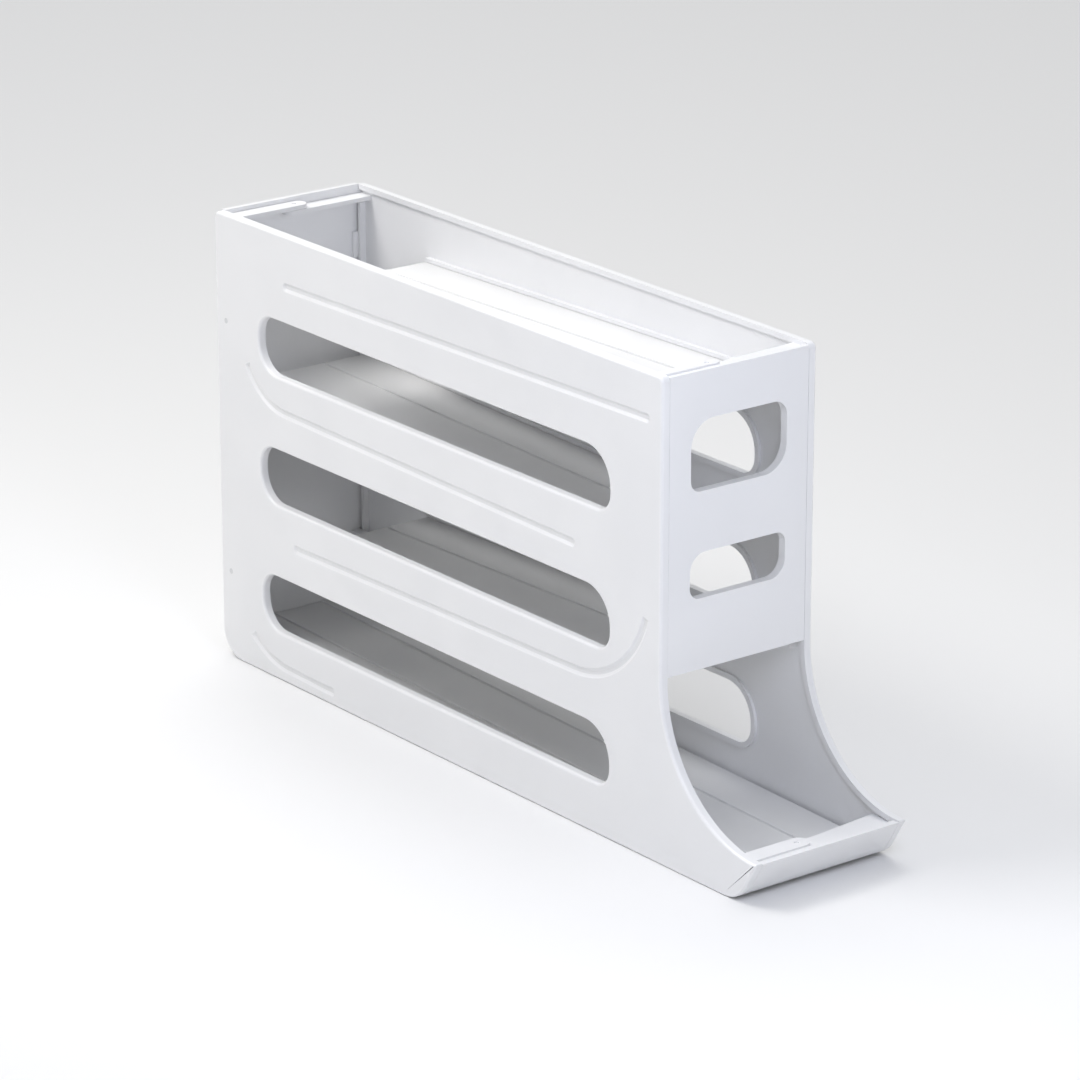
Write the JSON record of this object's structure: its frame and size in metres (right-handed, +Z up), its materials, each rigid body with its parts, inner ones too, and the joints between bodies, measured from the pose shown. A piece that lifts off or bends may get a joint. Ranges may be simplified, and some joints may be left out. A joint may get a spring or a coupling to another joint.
{
  "type": "rolling egg holder tray",
  "caption": "Narrow tiered gravity dispenser for eggs: sloping ramps between windowed side panels lead down to an open mouth with a raised lip.",
  "frame": {"origin": "middle of the footprint, on the surface it stands on", "axes": "+Z up, -Y towards the mouth and lip, +X towards the right side panel"},
  "size_m": [0.082, 0.382, 0.212],
  "materials": {
    "side_panel": "satin white moulded plastic",
    "end_panel": "satin cool white moulded plastic",
    "ramp": "fine textured white moulded plastic",
    "lip": "satin cool white moulded plastic",
    "peg": "satin light grey moulded plastic"
  },
  "bodies": {
    "root": {"left_side_panel": "side_panel", "right_side_panel": "side_panel", "front_panel": "end_panel", "rear_panel": "end_panel", "ramp_tier_1": "ramp", "ramp_tier_2": "ramp", "ramp_tier_3": "ramp", "ramp_tier_4": "ramp", "front_lip": "lip", "peg_left_upper": "peg", "peg_left_lower": "peg", "peg_right_upper": "peg", "peg_right_lower": "peg"}
  },
  "joints": []
}
